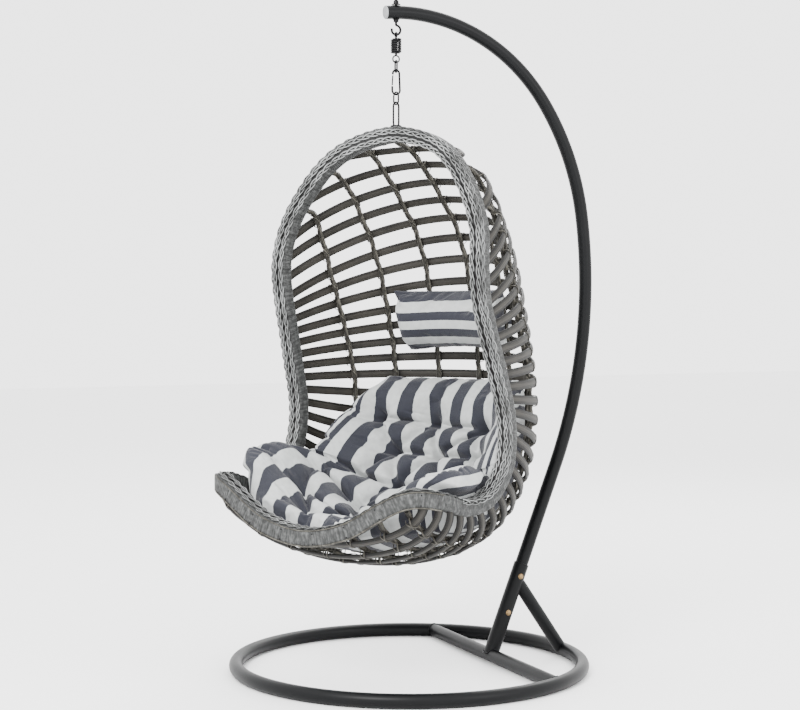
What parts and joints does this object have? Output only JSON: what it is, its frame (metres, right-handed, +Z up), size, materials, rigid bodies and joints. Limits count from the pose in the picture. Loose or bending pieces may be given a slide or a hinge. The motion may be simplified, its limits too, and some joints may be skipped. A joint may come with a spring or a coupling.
{
  "type": "hanging egg chair",
  "caption": "Slatted rattan egg chair with striped cushions, hung by a spring and links from a curved steel arm on a ring base.",
  "frame": {"origin": "centre of the chair's outline on the floor, directly below the middle of its bounding box", "axes": "+Z up; +Y from the open front of the stand to the arm's side; +X to the right seen from the front"},
  "size_m": [1.051, 1.153, 1.9464],
  "materials": {
    "stand_black": "satin powder coat",
    "chain_black": "semi-gloss",
    "bolt_brass": "plain",
    "cap_grey": "matte",
    "rim_braid": "braided synthetic rattan",
    "slat_brown": "ribbed half-round cane",
    "rib_wrap": "wound synthetic rattan",
    "cushion_fabric": "striped woven polyester"
  },
  "bodies": {
    "stand": {"base_ring": "stand_black", "cross_bar": "stand_black", "lower_post": "stand_black", "rear_brace": "stand_black", "arm": "stand_black", "arm_end_cap": "cap_grey", "post_bolt_lower": "bolt_brass", "post_bolt_upper": "bolt_brass", "hook_bolt": "chain_black", "hook_dome_nut": "chain_black", "hook_lock_nut": "chain_black"},
    "spring_top": {"spring_top_hook": "chain_black", "spring_coil": "chain_black"},
    "spring_bottom": {"spring_bottom_hook": "chain_black"},
    "upper_link": {"upper_link": "chain_black"},
    "snap_hook": {"snap_hook": "chain_black"},
    "snap_gate": {"snap_gate": "chain_black"},
    "lower_link": {"lower_link": "chain_black"},
    "basket": {"basket_hanger": "chain_black", "rim_frame": "rim_braid", "front_fascia": "rim_braid", "rib_1": "rib_wrap", "rib_2": "rib_wrap", "rib_3": "rib_wrap", "rib_4": "rib_wrap", "rib_5": "rib_wrap", "rib_6": "rib_wrap", "rib_7": "rib_wrap", "slat_01": "slat_brown", "slat_02": "slat_brown", "slat_03": "slat_brown", "slat_04": "slat_brown", "slat_05": "slat_brown", "slat_06": "slat_brown", "slat_07": "slat_brown", "slat_08": "slat_brown", "slat_09": "slat_brown", "slat_10": "slat_brown", "slat_11": "slat_brown", "slat_12": "slat_brown", "slat_13": "slat_brown", "slat_14": "slat_brown", "slat_15": "slat_brown", "slat_16": "slat_brown", "slat_17": "slat_brown", "slat_18": "slat_brown", "slat_19": "slat_brown", "slat_20": "slat_brown", "slat_21": "slat_brown", "slat_22": "slat_brown", "slat_23": "slat_brown", "slat_24": "slat_brown", "slat_25": "slat_brown", "slat_26": "slat_brown", "slat_27": "slat_brown", "slat_28": "slat_brown", "seat_cushion": "cushion_fabric", "head_pillow": "cushion_fabric", "pillow_tie_left": "cushion_fabric", "pillow_tie_right": "cushion_fabric"}
  },
  "joints": [
    {"name": "spring_swing", "type": "hinge", "parent": "stand", "child": "spring_top", "pos_m": [0, -0.06256, 1.8512], "axis": [1, 0, 0], "range_deg": [-8, 2.5]},
    {"name": "spring_stretch", "type": "slide", "parent": "spring_top", "child": "spring_bottom", "axis": [0, 0, -1], "range_m": [0, 0.03], "stiffness_N_per_m": 30000, "springref_m": -0.01, "deforming": ["spring_coil"]},
    {"name": "upper_link_tilt", "type": "hinge", "parent": "spring_bottom", "child": "upper_link", "pos_m": [0, -0.06256, 1.7648], "axis": [0, 1, 0], "range_deg": [-5, 5]},
    {"name": "snap_hook_swing", "type": "hinge", "parent": "upper_link", "child": "snap_hook", "pos_m": [0, -0.06256, 1.737], "axis": [1, 0, 0], "range_deg": [-8, 2.5]},
    {"name": "snap_gate_open", "type": "hinge", "parent": "snap_hook", "child": "snap_gate", "pos_m": [0, -0.07456, 1.7005], "axis": [1, 0, 0], "range_deg": [-28, 0], "stiffness_Nm_per_rad": 0.02, "springref_deg": 17.19},
    {"name": "lower_link_tilt", "type": "hinge", "parent": "snap_hook", "child": "lower_link", "pos_m": [0, -0.06256, 1.6735], "axis": [0, 1, 0], "range_deg": [-5, 5]},
    {"name": "basket_turn", "type": "hinge", "parent": "lower_link", "child": "basket", "pos_m": [0, -0.06256, 1.6508], "axis": [0, 0, 1], "range_deg": [-50, 22]}
  ]
}
